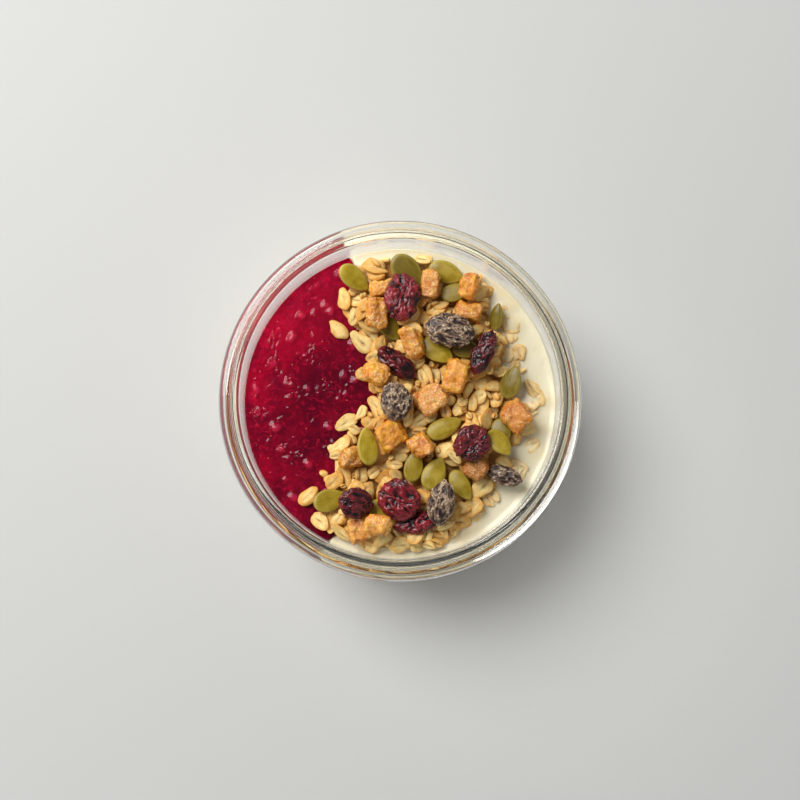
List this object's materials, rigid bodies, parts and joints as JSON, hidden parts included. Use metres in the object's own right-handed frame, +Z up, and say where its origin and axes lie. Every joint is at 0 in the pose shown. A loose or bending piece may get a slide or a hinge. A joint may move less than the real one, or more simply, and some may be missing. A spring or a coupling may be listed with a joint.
{
  "type": "yogurt parfait",
  "caption": "Yogurt parfait in a low clear preserving glass: plain yogurt with a pool of red berry compote and a band of granola, dried fruit and pumpkin seeds on top.",
  "frame": {"origin": "middle of the jar's foot, on the surface it stands on", "axes": "+Z up out of the mouth; the compote lies towards -X and the open yogurt towards +X; the granola band runs along Y"},
  "size_m": [0.11, 0.11, 0.055],
  "materials": {
    "jar_glass": "clear pressed glass with a slightly cool grey-green cast, smooth",
    "yogurt": "plain creamy yogurt, warm off-white, softly glossy",
    "compote": "glossy crimson berry compote with pulp and seeds",
    "granola": "toasted oat flakes, matt, pale straw to golden tan",
    "cranberry": "wrinkled dried cranberry, wine red, sticky sheen",
    "raisin": "wrinkled dark raisin dusted with oat flour",
    "apricot": "diced dried apricot, amber, with a fine sugary crust",
    "pumpkin_seed": "hulled pumpkin seed, yellowish olive green, smooth"
  },
  "bodies": {
    "root": {"glass_jar": "jar_glass", "yogurt": "yogurt", "compote": "compote", "granola": "granola", "cranberry_1": "cranberry", "cranberry_2": "cranberry", "cranberry_3": "cranberry", "cranberry_4": "cranberry", "cranberry_5": "cranberry", "cranberry_6": "cranberry", "cranberry_7": "cranberry", "raisin_1": "raisin", "raisin_2": "raisin", "raisin_3": "raisin", "raisin_4": "raisin", "apricot_1": "apricot", "apricot_2": "apricot", "apricot_3": "apricot", "apricot_4": "apricot", "apricot_5": "apricot", "apricot_6": "apricot", "apricot_7": "apricot", "apricot_8": "apricot", "apricot_9": "apricot", "apricot_10": "apricot", "apricot_11": "apricot", "apricot_12": "apricot", "apricot_13": "apricot", "apricot_14": "apricot", "apricot_15": "apricot", "apricot_16": "apricot", "pumpkin_seed_1": "pumpkin_seed", "pumpkin_seed_2": "pumpkin_seed", "pumpkin_seed_3": "pumpkin_seed", "pumpkin_seed_4": "pumpkin_seed", "pumpkin_seed_5": "pumpkin_seed", "pumpkin_seed_6": "pumpkin_seed", "pumpkin_seed_7": "pumpkin_seed", "pumpkin_seed_8": "pumpkin_seed", "pumpkin_seed_9": "pumpkin_seed", "pumpkin_seed_10": "pumpkin_seed", "pumpkin_seed_11": "pumpkin_seed", "pumpkin_seed_12": "pumpkin_seed", "pumpkin_seed_13": "pumpkin_seed", "pumpkin_seed_14": "pumpkin_seed", "pumpkin_seed_15": "pumpkin_seed", "pumpkin_seed_16": "pumpkin_seed", "pumpkin_seed_17": "pumpkin_seed", "pumpkin_seed_18": "pumpkin_seed"}
  },
  "joints": []
}
